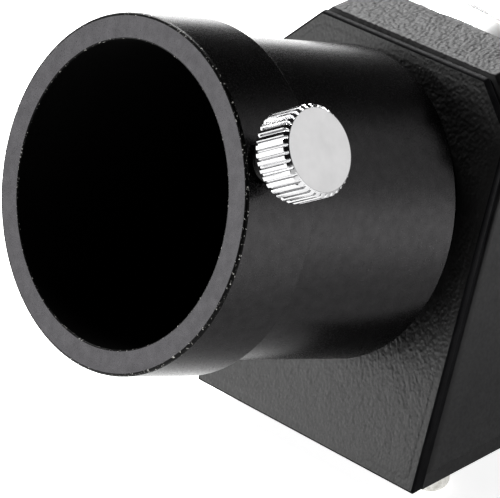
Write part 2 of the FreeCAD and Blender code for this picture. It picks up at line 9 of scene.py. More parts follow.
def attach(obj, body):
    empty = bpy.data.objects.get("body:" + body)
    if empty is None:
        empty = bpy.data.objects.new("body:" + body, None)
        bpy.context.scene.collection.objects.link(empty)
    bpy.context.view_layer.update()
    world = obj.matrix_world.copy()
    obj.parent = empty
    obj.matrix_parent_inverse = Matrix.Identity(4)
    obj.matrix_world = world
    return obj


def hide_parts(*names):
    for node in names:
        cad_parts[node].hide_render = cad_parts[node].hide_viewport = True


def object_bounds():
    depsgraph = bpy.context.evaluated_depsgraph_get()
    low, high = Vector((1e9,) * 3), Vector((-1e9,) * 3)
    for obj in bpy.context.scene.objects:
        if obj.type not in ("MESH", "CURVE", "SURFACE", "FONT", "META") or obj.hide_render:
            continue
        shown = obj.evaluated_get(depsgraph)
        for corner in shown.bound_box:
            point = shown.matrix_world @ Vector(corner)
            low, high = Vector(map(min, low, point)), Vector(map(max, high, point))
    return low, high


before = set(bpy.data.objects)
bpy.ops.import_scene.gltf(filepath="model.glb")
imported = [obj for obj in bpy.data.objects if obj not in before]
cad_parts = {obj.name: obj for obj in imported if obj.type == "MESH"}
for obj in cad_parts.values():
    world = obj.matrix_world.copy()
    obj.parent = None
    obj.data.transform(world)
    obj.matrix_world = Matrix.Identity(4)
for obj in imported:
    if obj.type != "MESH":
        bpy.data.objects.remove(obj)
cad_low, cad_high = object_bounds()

# Looks for the erecting-prism star diagonal. Lengths are in metres, in the CAD model's frame.
MM = 0.001

# ---- housing ----
SLOPE = math.radians(22.5)                 # each end face leans inwards by this
SIN, COS, TAN = math.sin(SLOPE), math.cos(SLOPE), math.tan(SLOPE)
HALF_WIDTH = 17.8 * MM
HEIGHT = 41.85 * MM
HALF_TOP = 4.15 * MM
CHAMFER_WIDTH = 5.0 * MM
CHAMFER_HEIGHT = 4.4 * MM
LONG_EDGE = 0.4 * MM                       # rounding of the edges along Y
BASE_CORNER = 0.15 * MM
WALL = 2.0 * MM
BASE_PLATE = 1.6 * MM
HALF_BASE = HALF_TOP + HEIGHT * TAN
AXIS_TO_BASE = 27.3 * MM                   # down an end face
SEAT_Y = HALF_BASE - AXIS_TO_BASE * SIN    # where the axes cross the end faces
SEAT_Z = AXIS_TO_BASE * COS
SHELL_CORNER = 0.03 * MM
SHELL_EDGE = 0.1 * MM                      # rounding of the shell's two ends
SHELL_SPACING = [6 * MM, 1.2 * MM, 0.13 * MM, 1.2 * MM, 6 * MM, 2 * MM]     # of its points, by side
SHELL_STATIONS = 44                        # rows of points from end to end
TOP_HALF_WIDTH = HALF_WIDTH - CHAMFER_WIDTH - 0.3 * MM      # of the grained part of the top
TOP_GRAIN = (0.60 * MM, 0.075 * MM)        # pebble size and depth
TOP_SINK = 0.02 * MM
TOP_RAG = (0.12 * MM, 0.45 * MM)           # unevenness of the top's front edge: depth and length
GRAIN_SEED = 1                             # noise_vector differs from run to run unless it is seeded

# ---- side plates ----
FLANGE = 0.75 * MM
GROOVE = 0.6 * MM                          # width and depth of the shadow groove
GROOVE_AT_BASE = 0.03                      # share of the groove that is left at the base
END_PLATE = FLANGE + GROOVE
EDGE_ROUND = 0.26 * MM                     # rounding of the rim's front edge
BACK_ROUND = 0.45 * MM                     # rounding of the rim's rear edge
BORDER = 1.1 * MM                          # even border round the grained panel
BORDER_RISE = 0.08 * MM
BORDER_STEP = 0.12 * MM                    # width of the bevels that border and panel share
PANEL_RISE = 0.12 * MM
PANEL_CORNER = 1.0 * MM
PANEL_GRAIN = (0.62 * MM, 0.060 * MM)      # pebble size and depth
PANEL_ROWS = 46                            # rows of points from the border to the hole
PLATE_FIT = 0.05 * MM                      # rear plate in its recess
PLATE_BEVEL = 0.08 * MM                    # of the rear plate's edge
PLATE_SPACING = [0.3 * MM] * 6
SPIGOT_HOLE = 13.05 * MM

# ---- eyepiece holder ----
SOCKET = 15.975 * MM
COLLAR = 18.75 * MM
TUBE = 17.1 * MM
NECK = 14.2 * MM
SPIGOT = 13.0 * MM
SPIGOT_BORE = 11.0 * MM
SPIGOT_LENGTH = END_PLATE + WALL + 1.8 * MM
NECK_GAP = 3.3 * MM
FRONT = 35.9 * MM
COLLAR_LENGTH = 9.5 * MM
SOCKET_DEPTH = 28.0 * MM
STOP = 13.575 * MM
STOP_LENGTH = 2.4 * MM

# ---- thumbscrew ----
SCREW_ANGLE = math.radians(28.3)
SCREW_SETBACK = 3.0 * MM
SHANK = 2.0 * MM
SHANK_HOLE = 2.05 * MM
SHANK_END = 17.335 * MM                    # from the eyepiece axis
STEM_HOLE = 0.76 * MM
STEM_HOLE_DEPTH = 1.2 * MM
THREAD_PITCH = 0.7 * MM
THREAD_DEPTH = 0.3 * MM
KNOB_UNDER = COLLAR + 3.16 * MM
KNOB_LENGTH = 4.34 * MM
KNOB_RADIUS = 4.73 * MM
KNOB_FACE = 4.30 * MM
KNOB_BEVEL = 0.45 * MM
UNDER_BEVEL = 0.12 * MM
TEETH = 36
TOOTH_DEPTH = 0.38 * MM
TOOTH_LAND = 0.50                          # share of a tooth that is flat
TOOTH_FLANK = 0.36

# ---- nosepiece ----
BARREL = 15.85 * MM
BARREL_BORE = 13.6 * MM
BARREL_SEAT = 14.6 * MM
SEAT_FIT = 0.05 * MM
NOSE_COLLAR = 17.8 * MM
NOSE_COLLAR_FRONT = 16.9 * MM
NOSE_COLLAR_RIM = 2.2 * MM
NOSE_COLLAR_LENGTH = 3.5 * MM
NOSE_POCKET = 1.0 * MM
NOSE_END = 31.5 * MM
SAFETY_GROOVE = (11.5 * MM, 21.5 * MM, 0.5 * MM)     # start, end and depth
FILTER_THREAD = 14.25 * MM
FILTER_DEPTH = 5.5 * MM
FILTER_PITCH = 0.6 * MM
FILTER_RIDGE = 0.3 * MM

# ---- base screws ----
SCREW_HEAD = 2.0 * MM
SCREW_HEAD_HEIGHT = 2.2 * MM
SCREW_HEAD_ROUND = 1.2 * MM
BASE_SCREW = 1.0 * MM
BASE_SCREW_LENGTH = 4.4 * MM
BASE_SCREW_X = 15.4 * MM
BASE_SCREW_Y = HALF_BASE - 5.1 * MM
BOSS = 2.55 * MM
BOSS_TOP = 6.5 * MM
CROSS_LENGTH = 1.15 * MM                   # half the cross recess's length and width, and its depth
CROSS_WIDTH = 0.32 * MM
CROSS_DEPTH = 1.1 * MM
CROSS_TURN = 0.6

# ---- studio ----
VIEW_AZIMUTH, VIEW_ELEVATION, VIEW_ROLL = (math.radians(a) for a in (50.386, 28.418, -3.49))
VIEW_OFFSET = Vector((282.5, -216.9, 185.3)) * MM           # from the socket's mouth
VIEW_LENS = 281.2                          # in millimetres, on a 36 mm sensor
FLOOR_HALF = 3.0
LIGHT_TARGET = Vector((0, 0, 0.02))

# ---- meshing ----
POLE = 0.0001 * MM                         # radius that stands for a point on the axis
WELD = 0.001 * MM
SHARP = 50                                 # degrees; a steeper edge on the housing stays sharp

X_AXIS, Z_AXIS = Vector((1, 0, 0)), Vector((0, 0, 1))
SQUARE = ((-1, -1), (1, -1), (1, 1), (-1, 1))


def axes(origin, x, y, z):
    """A placement from its origin and its three axes."""
    return Matrix.Translation(origin) @ Matrix((x, y, z)).transposed().to_4x4()


EYE = axes((0, -SEAT_Y, SEAT_Z), X_AXIS, (0, SIN, COS), (0, -COS, SIN))
NOSE = axes((0, SEAT_Y, SEAT_Z), -X_AXIS, (0, -SIN, COS), (0, COS, SIN))
SCREW_OUT = (math.cos(SCREW_ANGLE), math.sin(SCREW_ANGLE), 0)
SCREW_SIDE = (-math.sin(SCREW_ANGLE), math.cos(SCREW_ANGLE), 0)
SCREW = EYE @ axes((0, 0, FRONT - SCREW_SETBACK), SCREW_SIDE, Z_AXIS, SCREW_OUT)


# ---- camera, light and floor ----
def add_camera():
    """A long lens at the photograph's viewing angle, close to the eyepiece end."""
    backward = Vector((math.sin(VIEW_AZIMUTH) * math.cos(VIEW_ELEVATION),
                       -math.cos(VIEW_AZIMUTH) * math.cos(VIEW_ELEVATION),
                       math.sin(VIEW_ELEVATION)))
    level = Vector((math.cos(VIEW_AZIMUTH), math.sin(VIEW_AZIMUTH), 0))
    above = backward.cross(level)
    right = level * math.cos(VIEW_ROLL) + above * math.sin(VIEW_ROLL)
    position = EYE @ Vector((0, 0, FRONT)) + VIEW_OFFSET
    data = bpy.data.cameras.new("camera")
    data.sensor_width = 36.0
    data.lens = VIEW_LENS
    data.clip_start = 0.01
    camera = bpy.data.objects.new("camera", data)
    camera.matrix_world = axes(position, right, backward.cross(right), backward)
    bpy.context.collection.objects.link(camera)
    bpy.context.scene.camera = camera


def add_light(name, position, size, power):
    """A square soft box that points at the object."""
    data = bpy.data.lights.new(name, "AREA")
    data.shape = "SQUARE"
    data.size = size
    data.energy = power
    light = bpy.data.objects.new(name, data)
    light.location = position
    light.rotation_euler = (LIGHT_TARGET - Vector(position)).to_track_quat("-Z", "Y").to_euler()
    bpy.context.collection.objects.link(light)


def add_world():
    """Pale up to a line that rises to the right and towards the telescope, and dark above it."""
    world = bpy.data.worlds.new("studio")
    bpy.context.scene.world = world
    world.use_nodes = True
    nodes, links = world.node_tree.nodes, world.node_tree.links
    nodes.clear()
    place = nodes.new("ShaderNodeTexCoord")
    height = nodes.new("ShaderNodeVectorMath")
    height.operation = "DOT_PRODUCT"
    height.inputs[1].default_value = (-0.35, -0.25, 1.0)
    lift = nodes.new("ShaderNodeMapRange")
    lift.inputs["From Min"].default_value = 0.0
    lift.inputs["From Max"].default_value = 0.13
    lift.interpolation_type = "SMOOTHSTEP"
    tone = nodes.new("ShaderNodeMix")
    tone.data_type = "RGBA"
    tone.inputs["A"].default_value = (0.95, 0.95, 0.95, 1)
    tone.inputs["B"].default_value = (0.008, 0.008, 0.008, 1)
    back = nodes.new("ShaderNodeBackground")
    out = nodes.new("ShaderNodeOutputWorld")
    links.new(place.outputs["Generated"], height.inputs[0])
    links.new(height.outputs["Value"], lift.inputs["Value"])
    links.new(lift.outputs[0], tone.inputs["Factor"])
    links.new(tone.outputs["Result"], back.inputs["Color"])
    links.new(back.outputs[0], out.inputs[0])


def add_floor():
    """A wide sheet of pale paper under the screw heads."""
    mesh = bpy.data.meshes.new("floor")
    corners = [(x * FLOOR_HALF, y * FLOOR_HALF, cad_low.z) for x, y in SQUARE]
    mesh.from_pydata(corners, [], [(0, 1, 2, 3)])
    floor = bpy.data.objects.new("floor", mesh)
    bpy.context.collection.objects.link(floor)
    paper = Paint("studio_paper", roughness=0.9, specular=0.2)
    paper.color(paper.noise(60, 3), (0.86, 0.86, 0.86), (0.90, 0.90, 0.90))
    paper.shader.inputs["Emission Color"].default_value = (1, 1, 1, 1)
    paper.shader.inputs["Emission Strength"].default_value = 0.85
    mesh.materials.append(paper.material)


# ---- materials ----
class Paint:
    """A procedural material whose patterns are placed in object coordinates, so in metres."""

    def __init__(self, name, roughness=0.5, specular=0.5, metallic=0.0):
        self.material = bpy.data.materials.new(name)
        self.material.use_nodes = True
        tree = self.material.node_tree
        self.nodes, self.links = tree.nodes, tree.links
        self.shader = self.nodes["Principled BSDF"]
        self.place = self.nodes.new("ShaderNodeTexCoord")
        self.shader.inputs["Roughness"].default_value = roughness
        self.shader.inputs["Specular IOR Level"].default_value = specular
        self.shader.inputs["Metallic"].default_value = metallic

    def noise(self, scale, detail=2, stretch=None):
        """Cloudy noise, its features about 1/scale metres across."""
        texture = self.nodes.new("ShaderNodeTexNoise")
        texture.inputs["Scale"].default_value = scale
        texture.inputs["Detail"].default_value = detail
        self.links.new(self.stretched(stretch), texture.inputs["Vector"])
        return texture.outputs["Fac"]

    def stretched(self, stretch):
        """Object coordinates, turned and scaled where a pattern runs along one direction."""
        if stretch is None:
            return self.place.outputs["Object"]
        turn, scale = stretch
        mapping = self.nodes.new("ShaderNodeMapping")
        mapping.inputs["Rotation"].default_value = turn
        mapping.inputs["Scale"].default_value = scale
        self.links.new(self.place.outputs["Object"], mapping.inputs["Vector"])
        return mapping.outputs[0]

    def cells(self, scale):
        """Pebbles of about 1/scale metres."""
        texture = self.nodes.new("ShaderNodeTexVoronoi")
        texture.feature = "SMOOTH_F1"
        texture.inputs["Scale"].default_value = scale
        self.links.new(self.place.outputs["Object"], texture.inputs["Vector"])
        return texture.outputs["Distance"]

    def spread(self, value, low, high, start=0.0, end=1.0):
        """The value's range low to high, mapped on start to end."""
        node = self.nodes.new("ShaderNodeMapRange")
        limits = {"From Min": low, "From Max": high, "To Min": start, "To Max": end}
        for socket, number in limits.items():
            node.inputs[socket].default_value = number
        self.links.new(value, node.inputs["Value"])
        return node.outputs[0]

    def color(self, factor, dark, light, low=0.3, high=0.7):
        """Base colour between two colours."""
        ramp = self.nodes.new("ShaderNodeValToRGB")
        stops = ramp.color_ramp.elements
        stops[0].position, stops[0].color = low, (*dark, 1)
        stops[1].position, stops[1].color = high, (*light, 1)
        self.links.new(factor, ramp.inputs[0])
        self.links.new(ramp.outputs[0], self.shader.inputs["Base Color"])

    def roughness(self, factor, smooth, rough):
        """Roughness between two values."""
        varied = self.spread(factor, 0.3, 0.7, smooth, rough)
        self.links.new(varied, self.shader.inputs["Roughness"])

    def bump(self, *layers):
        """Layers of (height, depth in metres), one over the other."""
        normal = None
        for height, depth in layers:
            node = self.nodes.new("ShaderNodeBump")
            node.inputs["Distance"].default_value = depth
            self.links.new(height, node.inputs["Height"])
            if normal:
                self.links.new(normal, node.inputs["Normal"])
            normal = node.outputs[0]
        self.links.new(normal, self.shader.inputs["Normal"])


def shades(tone, dark, light):
    """A darker and a lighter shade of one tone."""
    return [dark * t for t in tone], [light * t for t in tone]


def anodised(name, tone, depth):
    """Satin black anodising over a fine bead-blasted surface, darkened at grazing angles."""
    paint = Paint(name, metallic=1.0)
    paint.shader.inputs["Specular Tint"].default_value = (0.53, 0.53, 0.53, 1)
    blast = paint.noise(5200, 2)
    paint.color(paint.noise(900, 4), *shades(tone, 0.88, 1.12))
    paint.roughness(blast, 0.19, 0.31)
    paint.bump((blast, depth), (paint.noise(1700, 2), 0.003 * MM))
    return paint.material


def anodised_edge():
    """The same anodising where a turned edge has been knocked and shows bright metal; the bright
    specks are partly painted highlights, standing in for the glints the edge catches.
    """
    paint = Paint("worn_anodising_edge_painted_glints", specular=0.05)
    # Bright specks: wear, and painted highlights for the edge's glints.
    nicks_and_glints = paint.spread(paint.noise(4200, 3), 0.62, 0.70)
    paint.color(nicks_and_glints, (0.001, 0.001, 0.001), (0.42, 0.41, 0.39), 0.0, 1.0)
    paint.roughness(paint.noise(4000, 2), 0.28, 0.42)
    paint.bump((paint.noise(3600, 3), 0.03 * MM))
    return paint.material


def blackened_bore():
    """Dead black lining of the light path."""
    paint = Paint("flocked_bore", roughness=1.0, specular=0.02)
    grain = paint.noise(4000, 3)
    paint.color(grain, (0.0006, 0.0006, 0.0006), (0.0022, 0.0022, 0.0022))
    paint.bump((grain, 0.02 * MM))
    return paint.material


def grained_plastic(name, pebbles, depth, tone, specular):
    """Moulded black plastic with a leather grain."""
    paint = Paint(name, specular=specular)
    fine = paint.noise(5200, 3)
    pebble = paint.cells(pebbles)
    paint.color(paint.noise(700, 4), *shades(tone, 0.6, 1.3))
    paint.roughness(fine, 0.40, 0.56)
    paint.bump((pebble, depth), (fine, 0.014 * MM))
    return paint.material


def smooth_plastic(name, specular):
    """The satin sides and the rim of the moulding."""
    paint = Paint(name, specular=specular)
    paint.color(paint.noise(600, 4), (0.0025, 0.0025, 0.003), (0.006, 0.006, 0.0065))
    paint.roughness(paint.noise(2600, 3), 0.48, 0.62)
    paint.bump((paint.noise(3000, 3), 0.010 * MM))
    return paint.material


def chrome(name, tone, wear_scale, smooth, rough):
    """Plating with faint hairlines and a slightly cloudy polish."""
    paint = Paint(name, metallic=1.0)
    hairline = paint.noise(1500, 4, ((0.4, 0.2, 0.9), (1, 14, 1)))
    paint.color(paint.noise(wear_scale, 4), *shades(tone, 0.93, 1.04))
    paint.roughness(paint.noise(wear_scale, 3), smooth, rough)
    paint.bump((hairline, 0.002 * MM))
    return paint.material


def painted_shade_thread():
    """The screw's steel thread, coloured near black: painted shade for the dark gap between the knob
    and the collar.
    """
    paint = Paint("painted_shade_thread", metallic=0.6)
    paint.color(paint.noise(1800, 4), (0.010, 0.010, 0.010), (0.030, 0.029, 0.028))
    paint.roughness(paint.noise(3200, 3), 0.38, 0.55)
    paint.bump((paint.noise(3800, 3), 0.008 * MM))
    return paint.material


def zinc():
    paint = Paint("zinc_plate", metallic=1.0)
    paint.color(paint.noise(1400, 4), (0.50, 0.49, 0.45), (0.78, 0.77, 0.74))
    paint.roughness(paint.noise(2600, 3), 0.24, 0.42)
    paint.bump((paint.noise(3800, 3), 0.008 * MM))
    return paint.material


def rolled_steel():
    paint = Paint("rolled_steel", metallic=1.0)
    lines = paint.noise(900, 3, ((0, 0, 0), (0.1, 1, 0.1)))
    paint.color(lines, (0.42, 0.42, 0.43), (0.62, 0.62, 0.63))
    paint.roughness(lines, 0.28, 0.42)
    paint.bump((lines, 0.004 * MM))
    return paint.material


def nylon():
    paint = Paint("natural_nylon", specular=0.5)
    paint.color(paint.noise(900, 4), (0.66, 0.63, 0.55), (0.80, 0.77, 0.70))
    paint.roughness(paint.noise(2200, 3), 0.38, 0.52)
    paint.bump((paint.noise(2600, 3), 0.010 * MM))
    paint.shader.inputs["Subsurface Weight"].default_value = 0.2
    paint.shader.inputs["Subsurface Scale"].default_value = 0.5 * MM
    return paint.material


def glass():
    paint = Paint("prism_glass", specular=0.5)
    paint.shader.inputs["Transmission Weight"].default_value = 1.0
    paint.shader.inputs["IOR"].default_value = 1.517
    dust = paint.noise(1800, 4)
    paint.color(dust, (0.90, 0.95, 0.93), (0.97, 0.99, 0.98))
    paint.roughness(dust, 0.0, 0.03)
    return paint.material


def felt():
    paint = Paint("black_felt", specular=0.1)
    fibres = paint.noise(3800, 6)
    paint.color(fibres, (0.008, 0.008, 0.008), (0.040, 0.040, 0.042))
    paint.roughness(fibres, 0.85, 1.0)
    paint.bump((fibres, 0.08 * MM))
    paint.shader.inputs["Sheen Weight"].default_value = 0.4
    return paint.material


def mask_paint():
    paint = Paint("matt_black_paint", specular=0.1)
    paint.color(paint.noise(1500, 4), (0.003, 0.003, 0.003), (0.008, 0.008, 0.008))
    paint.roughness(paint.noise(2500, 3), 0.75, 0.95)
    paint.bump((paint.noise(3000, 3), 0.015 * MM))
    return paint.material


# ---- mesh helpers ----
Corner = namedtuple("Corner", "radius height rounding edge after", defaults=(0.0, 0, 0))


def arc(before, corner, after, rounding, steps):
    """Points of the arc that rounds a corner between two straight stretches."""
    to_before = (before - corner).normalized()
    to_after = (after - corner).normalized()
    half = to_before.angle(to_after) / 2
    reach = rounding / math.tan(half)
    centre = corner + (to_before + to_after).normalized() * (rounding / math.sin(half))
    start = corner + to_before * reach - centre
    end = corner + to_after * reach - centre
    sweep = start.angle(end)
    return [centre + (start * math.sin(sweep * (1 - k / steps)) + end * math.sin(sweep * k / steps))
            / math.sin(sweep) for k in range(steps + 1)]


def rounded_outline(corners, steps):
    """A closed outline of Corner values as points, each with the zone of the stretch after it."""
    points, zones = [], []
    flat = [Vector((c.radius, c.height)) for c in corners]
    for k, corner in enumerate(corners):
        if corner.rounding == 0:
            points.append(flat[k])
            zones.append(corner.after)
            continue
        bend = arc(flat[k - 1], flat[k], flat[(k + 1) % len(flat)], corner.rounding, steps)
        points.extend(bend)
        zones.extend([corner.edge] * steps + [corner.after])
    return points, zones


def mesh_from_rows(name, rows, zones, materials, joined_ends=True, sharp_deg=40, weld=0.0):
    """A skin through rows of equally many points, each row a closed ring."""
    count = len(rows[0])
    last = len(rows) if joined_ends else len(rows) - 1
    vertices = [p for row in rows for p in row]
    faces, indices = [], []
    for r in range(last):
        near, far = r * count, (r + 1) % len(rows) * count
        for k in range(count):
            step = (k + 1) % count
            faces.append((near + k, near + step, far + step, far + k))
            indices.append(zones[r])
    if not joined_ends:
        faces.append(tuple(reversed(range(count))))
        faces.append(tuple(range(last * count, (last + 1) * count)))
        indices.extend([zones[0], zones[-1]])
    mesh = bpy.data.meshes.new(name)
    mesh.from_pydata(vertices, [], faces)
    mesh.polygons.foreach_set("material_index", indices)
    for material in materials:
        mesh.materials.append(material)
    work = bmesh.new()
    work.from_mesh(mesh)
    if weld:
        bmesh.ops.remove_doubles(work, verts=work.verts, dist=weld)
    bmesh.ops.recalc_face_normals(work, faces=work.faces)
    work.to_mesh(mesh)
    work.free()
    mesh.shade_smooth()
    mesh.set_sharp_from_angle(angle=math.radians(sharp_deg))
    piece = bpy.data.objects.new(name, mesh)
    bpy.context.collection.objects.link(piece)
    return piece


def even_normals(piece):
    """Keeps flat faces flat up to their rounded edges."""
    modifier = piece.modifiers.new("even_normals", "WEIGHTED_NORMAL")
    modifier.keep_sharp = True
    modifier.weight = 90


def lathe(name, placement, corners, materials, segments=288, steps=5, sharp_deg=40):
    """A piece turned about the placement's Z axis from a closed outline."""
    points, zones = rounded_outline(corners, steps)
    rows = [ring(placement, p.x, p.y, segments) for p in points]
    piece = mesh_from_rows(name, rows, zones, materials, sharp_deg=sharp_deg, weld=WELD)
    even_normals(piece)
    return piece


def ring(placement, radius, height, segments):
    """Points of a circle about the placement's Z axis."""
    turn = 2 * math.pi / segments
    return [placement @ Vector((radius * math.cos(turn * k), radius * math.sin(turn * k), height))
            for k in range(segments)]


def cut(piece, *tools):
    """Takes the tools' shapes out of the piece's mesh and removes the tools."""
    others = list(piece.modifiers)
    for other in others:
        other.show_viewport = False
    for tool in tools:
        modifier = piece.modifiers.new("cut", "BOOLEAN")
        modifier.operation = "DIFFERENCE"
        modifier.solver = "EXACT"
        modifier.object = tool
        depsgraph = bpy.context.evaluated_depsgraph_get()
        piece.data = bpy.data.meshes.new_from_object(piece.evaluated_get(depsgraph))
        piece.modifiers.remove(modifier)
        bpy.data.objects.remove(tool)
    for other in others:
        other.show_viewport = True


def plain_solid(name, bottom, top):
    """A closed solid between two rings of points."""
    return mesh_from_rows(name, [bottom, top], [0, 0], [], joined_ends=False)


def leather(point, size, depth):
    """Height of a leather grain: pebbles of one size with creases between them."""
    spot = point / size
    spot = spot + 0.35 * noise.noise_vector(spot * 0.7)
    distances = noise.voronoi(spot)[0]
    crease = min(1.0, (distances[1] - distances[0]) / 0.35)
    swell = noise.noise(spot * 0.4)
    return depth * (crease * (2 - crease) - 0.5 + 0.5 * swell)


# ---- housing and side plates ----
def section_corners(inset):
    """The six corners of the housing's XZ section, inset all round, from the right base upwards."""
    across = math.hypot(CHAMFER_WIDTH, CHAMFER_HEIGHT)
    nx, nz = CHAMFER_HEIGHT / across, CHAMFER_WIDTH / across
    side, top = HALF_WIDTH - inset, HEIGHT - inset
    low_x = HALF_WIDTH - CHAMFER_WIDTH - inset * (1 - nz) / nx
    high_z = HEIGHT - CHAMFER_HEIGHT - inset * (1 - nx) / nz
    return [Vector(p) for p in ((side, inset), (side, high_z), (low_x, top),
                                (-low_x, top), (-side, high_z), (-side, inset))]


def section_loop(inset, base_round, top_round, spacing, base=0.0):
    """Points round the section, equally many for every inset."""
    corners = section_corners(inset)
    corners[0].y = corners[5].y = max(base, inset)
    whole = section_corners(0)
    sides = zip(whole, whole[1:] + whole[:1], spacing)
    counts = [max(2, round((b - a).length / apart)) for a, b, apart in sides]
    loop = []
    bends = []
    for k, corner in enumerate(corners):
        rounding = base_round if k in (0, 5) else top_round
        bends.append(arc(corners[k - 1], corner, corners[(k + 1) % 6], rounding, 4))
    for k in range(6):
        start, end = bends[k][-1], bends[(k + 1) % 6][0]
        loop.extend(bends[k])
        loop.extend(start.lerp(end, n / counts[k]) for n in range(1, counts[k]))
    return loop


def on_end(x, z, outward, end):
    """A point of an end face, raised outwards; end is -1 at the eyepiece and 1 at the nosepiece."""
    y = SEAT_Y + (outward - (z - SEAT_Z) * SIN) / COS
    return Vector((x, end * y, z))


def front_plate(rim, panel):
    """Shadow groove, rounded rim and even border round a grained panel."""
    rows, zones = [], []
    back_steps, front_steps = 6, 8

    def add(inset, outward, corner, zone=1):
        base_corner = min(corner, BASE_CORNER) if inset < BORDER else corner
        loop = section_loop(inset, base_corner, corner, PLATE_SPACING)
        rows.append([on_end(p.x, p.y, outward, -1) for p in loop])
        zones.append(zone)

    def add_tapering(inset, outward):
        """A row with its full inset at the top and nearly none at the base."""
        row = []
        flush, full = (section_loop(i, BASE_CORNER, LONG_EDGE, PLATE_SPACING) for i in (0.0, inset))
        for on_edge, inside in zip(flush, full):
            share = GROOVE_AT_BASE + (1 - GROOVE_AT_BASE) * (on_edge.y / HEIGHT) ** 2
            row.append(on_end(*on_edge.lerp(inside, share), outward, -1))
        rows.append(row)
        zones.append(0)

    add_tapering(GROOVE, -END_PLATE)
    add_tapering(GROOVE, -FLANGE)
    for k in range(back_steps + 1):
        bend = math.pi / 2 * k / back_steps
        add_tapering(BACK_ROUND * (1 - math.sin(bend)), BACK_ROUND * (1 - math.cos(bend)) - FLANGE)
    for k in range(front_steps + 1):
        bend = math.pi / 2 * k / front_steps
        add(EDGE_ROUND * (1 - math.cos(bend)), BORDER_RISE + EDGE_ROUND * (math.sin(bend) - 1),
            LONG_EDGE, int(k == front_steps))
    add(BORDER - BORDER_STEP, BORDER_RISE, PANEL_CORNER)
    add(BORDER, BORDER_RISE, PANEL_CORNER)
    add(BORDER + BORDER_STEP, PANEL_RISE, PANEL_CORNER)
    return with_panel("front_plate", EYE, rows, zones, [rim, panel])


def rear_plate(edge, panel):
    """The grained plate let into the housing's rear end."""
    rows, zones = [], []
    for bevel, outward, zone in ((0.0, -END_PLATE, 0), (0.0, PANEL_RISE - PLATE_BEVEL, 0),
                                 (PLATE_BEVEL, PANEL_RISE, 1)):
        inset = BORDER + PLATE_FIT + bevel
        loop = section_loop(inset, BASE_CORNER, PANEL_CORNER, PLATE_SPACING, BASE_PLATE + inset)
        rows.append([on_end(p.x, p.y, outward, 1) for p in loop])
        zones.append(zone)
    return with_panel("rear_plate", NOSE, rows, zones, [edge, panel])


def with_panel(name, placement, rows, zones, materials):
    """A side plate from its outline's rows, closed by a grained panel and the spigot's hole.

    The grain starts just inside the border and stops short of the hole, where the tube seats."""
    inward = placement.inverted()
    outer = [(inward @ point).to_2d().to_3d() for point in rows[-1]]
    for step in range(1, PANEL_ROWS + 1):
        share = step / PANEL_ROWS
        fade = min(1.0, 6 * share) if share < 0.9 else 0.0
        row = []
        for start in outer:
            spot = start.lerp(start.normalized() * SPIGOT_HOLE, share)
            lift = fade * leather(spot, *PANEL_GRAIN)
            row.append(placement @ Vector((spot.x, spot.y, PANEL_RISE + lift)))
        rows.append(row)
        zones.append(1)
    zones[-1] = 0
    rows.append([placement @ ((inward @ point).to_2d().to_3d() - Vector((0, 0, END_PLATE)))
                 for point in rows[-1]])
    zones.append(0)
    return mesh_from_rows(name, rows, zones, materials, sharp_deg=SHARP)


def shell_point(x, z, share, short):
    """A point of the shell's skin, a share of the way from the front end to the rear one."""
    front_y = on_end(x, z, -END_PLATE, -1).y + short
    rear_y = on_end(x, z, 0.0, 1).y - short
    point = Vector((x, front_y + (rear_y - front_y) * share, z))
    if z > HEIGHT - 0.2 * MM and abs(x) < TOP_HALF_WIDTH:
        rag, rag_length = TOP_RAG
        point.y -= (1 - share) ** 8 * rag * (1 + noise.noise(Vector((x / rag_length, 0, 0))))
        fade = min(1.0, 20 * share, 20 * (1 - share), (TOP_HALF_WIDTH - abs(x)) / (0.4 * MM))
        point.z += fade * (leather(point, *TOP_GRAIN) - TOP_SINK)
    return point


def housing_body(sides, top):
    """The housing's shell: a coarse leather grain on top, satin sides, a recess in the rear end."""
    outer, inner = (section_loop(inset, SHELL_CORNER, LONG_EDGE, SHELL_SPACING, BASE_PLATE)
                    for inset in (0.0, SHELL_EDGE))
    rows = [[shell_point(p.x, p.y, 0.0, 0.0) for p in inner]]
    for station in range(SHELL_STATIONS + 1):
        rows.append([shell_point(p.x, p.y, station / SHELL_STATIONS, SHELL_EDGE) for p in outer])
    rows.append([shell_point(p.x, p.y, 1.0, 0.0) for p in inner])
    piece = mesh_from_rows("housing_shell", rows, [0] * len(rows), [sides, top],
                           joined_ends=False, sharp_deg=SHARP)
    for face in piece.data.polygons:
        if face.normal.z > 0.6 and face.center.z > HEIGHT - 0.5 * MM:
            face.material_index = 1
    cavity = plain_solid("cavity", cavity_end(-1), cavity_end(1))
    cut(cavity, *[upright("boss", x, y, BOSS, 0, BOSS_TOP) for x, y in base_screw_places()])
    spigots = [round_tool("spigot", place, SPIGOT_HOLE, -8 * MM, 2 * MM, 96) for place in (EYE, NOSE)]
    screws = [upright("screw", x, y, BASE_SCREW, 0, BASE_SCREW_LENGTH + 0.5 * MM)
              for x, y in base_screw_places()]
    outline = section_loop(BORDER, BASE_CORNER, PANEL_CORNER, PLATE_SPACING, BASE_PLATE + BORDER)
    recess = plain_solid("recess", *[[on_end(p.x, p.y, level, 1) for p in outline]
                                     for level in (-END_PLATE, 1 * MM)])
    cut(piece, cavity, recess, *spigots, *screws)
    piece.data.set_sharp_from_angle(angle=math.radians(SHARP))
    return piece


def cavity_end(end):
    """One end of the housing's inside, open at the base."""
    corners = section_corners(WALL)
    corners[0].y = corners[5].y = 0.5 * MM
    return [on_end(p.x, p.y, -END_PLATE - WALL, end) for p in corners]


def round_tool(name, placement, radius, low, high, segments):
    """A plain cylinder about the placement's Z axis."""
    return plain_solid(name, ring(placement, radius, low, segments),
                       ring(placement, radius, high, segments))


def upright(name, x, y, radius, low, high):
    """A plain upright cylinder."""
    return round_tool(name, Matrix.Translation((x, y, 0)), radius, low, high, 32)


def base_screw_places():
    """X and Y of the four screws at the base's corners."""
    return [(x * BASE_SCREW_X, y * BASE_SCREW_Y) for x in (-1, 1) for y in (-1, 1)]


